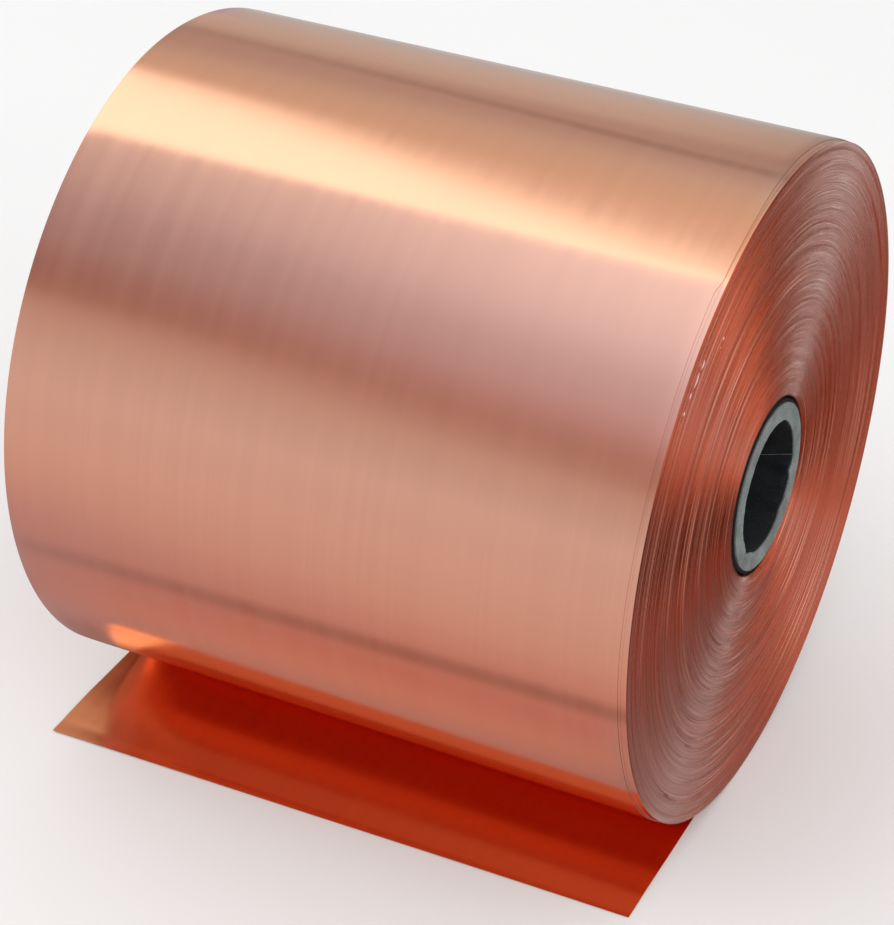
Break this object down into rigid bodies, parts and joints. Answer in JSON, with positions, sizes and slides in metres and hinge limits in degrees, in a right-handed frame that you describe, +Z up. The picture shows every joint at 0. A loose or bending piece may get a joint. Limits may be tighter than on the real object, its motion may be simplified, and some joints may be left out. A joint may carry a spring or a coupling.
{
  "type": "copper foil roll",
  "caption": "Wide roll of bare copper foil wound on a paperboard core, standing on its side with its outer end drawn out flat in front; the roll turns and the free end lifts.",
  "frame": {"origin": "on the ground under the roll: midway along the line where the roll touches it, on the underside of the foil", "axes": "+X along the roll's axis towards the end face seen in the picture, -Y the way the free end of the foil points, +Z up"},
  "size_m": [0.392, 0.4, 0.4],
  "materials": {
    "copper_foil": "bright rolled copper, soft mirror with fine rolling lines along the strip",
    "copper_edges": "stacked slit edges of the copper foil, fine concentric lines",
    "core_board": "matte cut paperboard, grey-green",
    "core_liner": "matte dark kraft paper ply",
    "adhesive_tape": "tan paper-backed adhesive tape"
  },
  "bodies": {
    "laid_foil": {"foil_outer_turn": "copper_foil", "foil_tail_base": "copper_foil"},
    "coil": {"core_liner": "core_liner", "core_wall": "core_board", "start_tape": "adhesive_tape", "foil_start_turn": "copper_edges", "foil_turns_1": "copper_edges", "foil_turns_2": "copper_edges", "foil_turns_3": "copper_edges", "foil_turns_4": "copper_edges", "foil_turns_5": "copper_edges", "foil_turns_6": "copper_edges"},
    "tail_middle": {"foil_tail_middle": "copper_foil"},
    "tail_tip": {"foil_tail_tip": "copper_foil"}
  },
  "joints": [
    {"name": "coil_turn", "type": "hinge", "parent": "laid_foil", "child": "coil", "pos_m": [0, 0, 0.2], "axis": [1, 0, 0], "continuous": true},
    {"name": "tail_lift", "type": "hinge", "parent": "laid_foil", "child": "tail_middle", "pos_m": [-0.008, -0.06, 0.0004], "axis": [-1, 0, 0], "range_deg": [0, 22]},
    {"name": "tail_curl", "type": "hinge", "parent": "tail_middle", "child": "tail_tip", "pos_m": [-0.008, -0.112, 0.0004], "axis": [-1, 0, 0], "range_deg": [0, 22]}
  ],
  "couplings": [
    {"joint": "tail_curl", "follows": "tail_lift", "ratio": 1}
  ]
}
